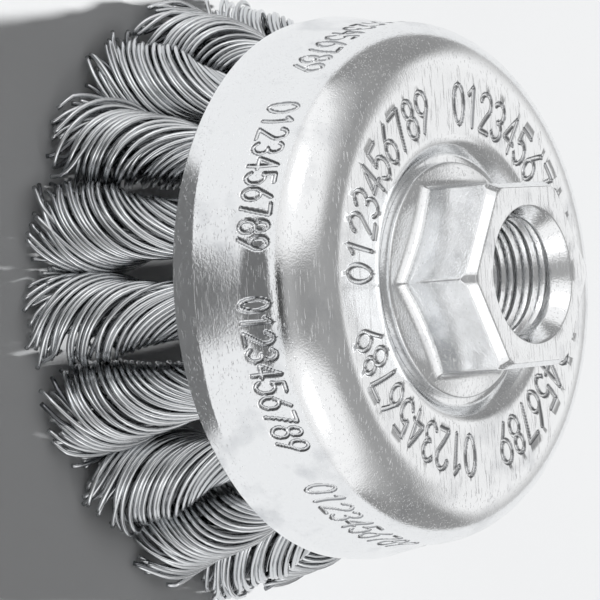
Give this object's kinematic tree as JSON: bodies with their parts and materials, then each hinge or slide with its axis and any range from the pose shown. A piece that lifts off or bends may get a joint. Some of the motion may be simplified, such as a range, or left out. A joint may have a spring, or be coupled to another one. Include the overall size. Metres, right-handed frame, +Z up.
{
  "type": "wire cup brush",
  "caption": "Steel cup brush with a ring of twisted wire knots and a hexagon nut with an M14 spindle thread.",
  "frame": {"origin": "on the brush's axis, in the plane of the wire tips that it stands on", "axes": "+Z up along the spindle axis, out of the nut; a corner of the hexagon points to -Y"},
  "size_m": [0.0652, 0.0657, 0.0414],
  "materials": {
    "zinc_plated_cup": "bright zinc plating on pressed sheet",
    "zinc_plated_nut": "bright zinc plating on turned steel",
    "steel_plate": "plain pressed sheet",
    "steel_wire": "drawn wire, bare"
  },
  "bodies": {
    "root": {"cup": "zinc_plated_cup", "threaded_nut": "zinc_plated_nut", "knot_holder": "steel_plate", "wire_knot_01": "steel_wire", "wire_knot_02": "steel_wire", "wire_knot_03": "steel_wire", "wire_knot_04": "steel_wire", "wire_knot_05": "steel_wire", "wire_knot_06": "steel_wire", "wire_knot_07": "steel_wire", "wire_knot_08": "steel_wire", "wire_knot_09": "steel_wire", "wire_knot_10": "steel_wire", "wire_knot_11": "steel_wire", "wire_knot_12": "steel_wire", "wire_knot_13": "steel_wire", "wire_knot_14": "steel_wire", "wire_knot_15": "steel_wire", "wire_knot_16": "steel_wire", "wire_knot_17": "steel_wire", "wire_knot_18": "steel_wire"}
  },
  "joints": []
}
